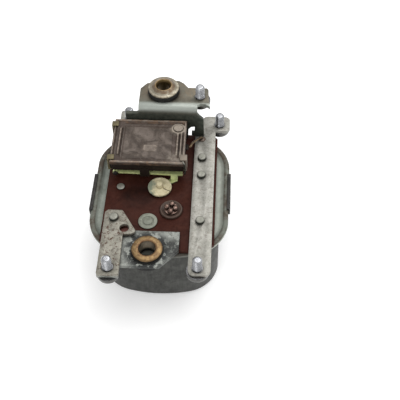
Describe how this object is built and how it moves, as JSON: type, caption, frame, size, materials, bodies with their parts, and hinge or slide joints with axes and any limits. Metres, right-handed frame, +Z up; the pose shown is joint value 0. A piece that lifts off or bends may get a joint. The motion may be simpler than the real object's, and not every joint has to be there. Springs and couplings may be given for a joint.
{
  "type": "pressure switch",
  "caption": "Pressure switch: a spring-loaded diaphragm capsule in a drawn steel can lifts a plunger that works a covered snap switch on a terminal board with strips and bushed brackets.",
  "frame": {"origin": "centre of the can's flat base, where the switch stands", "axes": "+Z up, out of the terminal board; +Y towards the rear bracket and the inlet; +X to the right, towards the long terminal strip"},
  "size_m": [0.0724, 0.1146, 0.0705],
  "materials": {
    "can_steel": "dull dark grey drawn steel",
    "tray_zinc": "dull greenish zinc plate",
    "dark_steel": "blackened spring steel",
    "zinc": "worn zinc plate",
    "zinc_stained": "zinc plate with dark stains",
    "bright_zinc": "bright zinc plate",
    "phenolic_board": "dark red-brown phenolic board",
    "phenolic_cover": "worn brown phenolic",
    "rubber": "black rubber",
    "fibre": "black fibre gasket",
    "brass": "dull aged brass",
    "passivated": "yellow-green passivated steel",
    "nylon_cream": "cream nylon, stained",
    "brown_plastic": "brown moulded collar",
    "copper_wire": "tinned copper jumper, varnished",
    "solder": "dull solder",
    "spring_steel": "oiled spring steel",
    "ivory_plastic": "ivory plastic"
  },
  "bodies": {
    "housing": {"pressure_can": "can_steel", "floor_rivets": "can_steel", "can_gasket": "fibre", "tray_frame": "tray_zinc", "side_clips": "dark_steel", "board_spacer": "fibre", "terminal_board": "phenolic_board", "board_rivet": "zinc", "right_strip": "zinc", "right_strip_rivets": "zinc", "left_strip": "zinc", "left_strip_spacer": "zinc", "left_strip_rivet": "zinc", "front_bracket": "zinc_stained", "front_bush": "brass", "front_washers": "zinc", "front_grommet": "rubber", "rear_bracket": "zinc_stained", "rear_bush": "brass", "rear_washer": "zinc", "rear_grommet": "rubber", "rear_left_strip": "zinc", "rear_left_rivets": "zinc", "terminal_screws": "bright_zinc", "switch_base": "phenolic_cover", "switch_carrier": "phenolic_cover", "switch_cover": "phenolic_cover", "cover_screw": "phenolic_cover", "cover_clip": "passivated", "wire_clip": "bright_zinc", "switch_terminals": "passivated", "contact_nc": "brass", "contact_no": "brass", "blade_clamp": "brass", "jumper_wire": "copper_wire", "solder_joint": "solder", "lever_pivot_pin": "bright_zinc", "lever_spring": "spring_steel", "rod_guide": "brass", "range_spring": "spring_steel", "diaphragm": "rubber", "capsule_base": "brass", "capsule_ring": "zinc", "capsule_screws": "zinc", "inlet_fitting": "brass", "inlet_nut": "brass", "inlet_seal": "fibre", "guide_post": "zinc", "adjuster_collar": "brown_plastic", "trim_spring": "spring_steel"},
    "plunger": {"piston_plate": "zinc", "push_rod": "bright_zinc", "plunger_disc": "nylon_cream"},
    "lever": {"switch_lever": "passivated"},
    "button": {"switch_button": "ivory_plastic"},
    "blade": {"contact_blade": "brass"},
    "adjuster": {"adjuster_screw": "brown_plastic", "adjuster_clip": "spring_steel"},
    "seat": {"spring_seat": "zinc"}
  },
  "joints": [
    {"name": "plunger_slide", "type": "slide", "parent": "housing", "child": "plunger", "axis": [0, 0, 1], "range_m": [0, 0.0015], "stiffness_N_per_m": 400, "deforming": ["range_spring", "diaphragm", "trim_spring"]},
    {"name": "lever_hinge", "type": "hinge", "parent": "housing", "child": "lever", "pos_m": [-0.0243, 0.0105, 0.0446], "axis": [0, -1, 0], "range_deg": [0, 3.1]},
    {"name": "button_slide", "type": "slide", "parent": "housing", "child": "button", "axis": [0, 0, 1], "range_m": [0, 0.00085]},
    {"name": "blade_hinge", "type": "hinge", "parent": "housing", "child": "blade", "pos_m": [-0.0088, 0.031, 0.05065], "axis": [-1, 0, 0], "range_deg": [0, 2.4]},
    {"name": "adjuster_turn", "type": "hinge", "parent": "housing", "child": "adjuster", "pos_m": [0.0061, -0.0116, 0.0405], "axis": [0, 0, 1], "range_deg": [-720, 720]},
    {"name": "seat_slide", "type": "slide", "parent": "housing", "child": "seat", "axis": [0, 0, 1], "range_m": [-0.002, 0.002]}
  ],
  "couplings": [
    {"joint": "lever_hinge", "follows": "plunger_slide", "rad_per_m": 35},
    {"joint": "button_slide", "follows": "plunger_slide", "ratio": 0.5425},
    {"joint": "blade_hinge", "follows": "plunger_slide", "rad_per_m": 26.46},
    {"joint": "adjuster_turn", "follows": "seat_slide", "rad_per_m": 6283.2}
  ]
}
